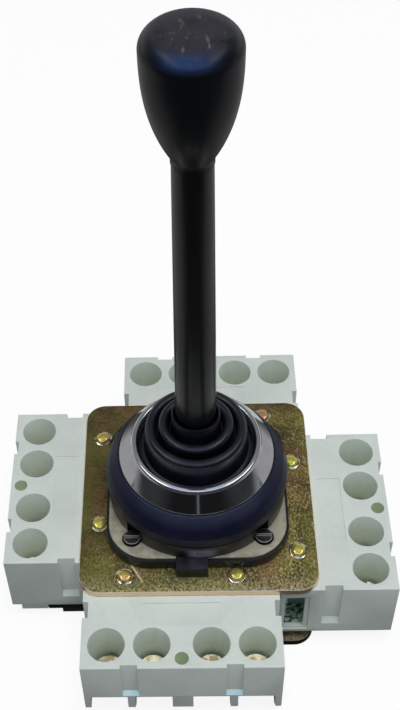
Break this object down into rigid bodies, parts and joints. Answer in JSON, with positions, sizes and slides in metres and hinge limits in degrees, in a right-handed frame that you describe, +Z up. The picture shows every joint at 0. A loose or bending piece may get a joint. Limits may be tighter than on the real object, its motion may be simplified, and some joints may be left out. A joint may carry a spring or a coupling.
{
  "type": "industrial joystick switch",
  "caption": "Two-axis panel-mounting industrial joystick: tapered lever with a pear-shaped knob and bellows over a square body with contact blocks on all sides.",
  "frame": {"origin": "centre of the bottom plate's underside, on the lever's axis", "axes": "+Z up along the lever at rest, towards the knob; -Y towards the contact block named front"},
  "size_m": [0.0762, 0.0762, 0.129],
  "materials": {
    "block_plastic": "satin",
    "black_plastic": "satin",
    "nylon": "satin",
    "yellow_zinc": "satin",
    "brass": "polished",
    "steel": "satin",
    "chrome": "polished",
    "rubber": "matte",
    "blue_black_rubber": "satin",
    "grey_zinc": "satin"
  },
  "bodies": {
    "base": {"bottom_plate": "yellow_zinc", "top_plate": "yellow_zinc", "rivets": "brass", "gate_plate": "nylon", "spring_seat": "nylon", "return_spring": "steel", "head_body": "black_plastic", "panel_washer": "grey_zinc", "head_screws": "steel", "collar": "blue_black_rubber", "bezel": "chrome", "boot": "rubber", "housing_front": "block_plastic", "block_base_front": "black_plastic", "fixed_contacts_front": "brass", "clamps_front": "steel", "terminal_screws_front": "brass", "plunger_spring_front": "steel", "housing_right": "block_plastic", "block_base_right": "black_plastic", "fixed_contacts_right": "brass", "clamps_right": "steel", "terminal_screws_right": "brass", "plunger_spring_right": "steel", "housing_rear": "block_plastic", "block_base_rear": "black_plastic", "fixed_contacts_rear": "brass", "clamps_rear": "steel", "terminal_screws_rear": "brass", "plunger_spring_rear": "steel", "housing_left": "block_plastic", "block_base_left": "black_plastic", "fixed_contacts_left": "brass", "clamps_left": "steel", "terminal_screws_left": "brass", "plunger_spring_left": "steel"},
    "gimbal": {"gimbal_ring": "steel", "gimbal_pins": "steel"},
    "lever": {"hub": "steel", "lever_pin": "steel", "rod": "steel", "foot_cam": "nylon", "sleeve": "black_plastic", "knob": "black_plastic"},
    "plunger_front": {"plunger_front": "nylon", "bridge_front": "brass"},
    "plunger_right": {"plunger_right": "nylon", "bridge_right": "brass"},
    "plunger_rear": {"plunger_rear": "nylon", "bridge_rear": "brass"},
    "plunger_left": {"plunger_left": "nylon", "bridge_left": "brass"}
  },
  "joints": [
    {"name": "tilt_fore_aft", "type": "hinge", "parent": "base", "child": "gimbal", "pos_m": [0, 0, 0.026], "axis": [1, 0, 0], "range_deg": [-15, 15], "stiffness_Nm_per_rad": 0.35, "deforming": ["boot", "return_spring", "plunger_spring_front", "plunger_spring_rear"]},
    {"name": "tilt_sideways", "type": "hinge", "parent": "gimbal", "child": "lever", "pos_m": [0, 0, 0.026], "axis": [0, 1, 0], "range_deg": [-15, 15], "stiffness_Nm_per_rad": 0.35, "deforming": ["boot", "return_spring", "plunger_spring_right", "plunger_spring_left"]},
    {"name": "slide_front", "type": "slide", "parent": "base", "child": "plunger_front", "axis": [0, -1, 0], "range_m": [-0.00325, 0.00325], "deforming": ["plunger_spring_front"]},
    {"name": "slide_right", "type": "slide", "parent": "base", "child": "plunger_right", "axis": [1, 0, 0], "range_m": [-0.00325, 0.00325], "deforming": ["plunger_spring_right"]},
    {"name": "slide_rear", "type": "slide", "parent": "base", "child": "plunger_rear", "axis": [0, 1, 0], "range_m": [-0.00325, 0.00325], "deforming": ["plunger_spring_rear"]},
    {"name": "slide_left", "type": "slide", "parent": "base", "child": "plunger_left", "axis": [-1, 0, 0], "range_m": [-0.00325, 0.00325], "deforming": ["plunger_spring_left"]}
  ],
  "couplings": [
    {"joint": "slide_front", "follows": "tilt_fore_aft", "m_per_rad": -0.0124},
    {"joint": "slide_right", "follows": "tilt_sideways", "m_per_rad": -0.0124},
    {"joint": "slide_rear", "follows": "tilt_fore_aft", "m_per_rad": 0.0124},
    {"joint": "slide_left", "follows": "tilt_sideways", "m_per_rad": 0.0124}
  ]
}
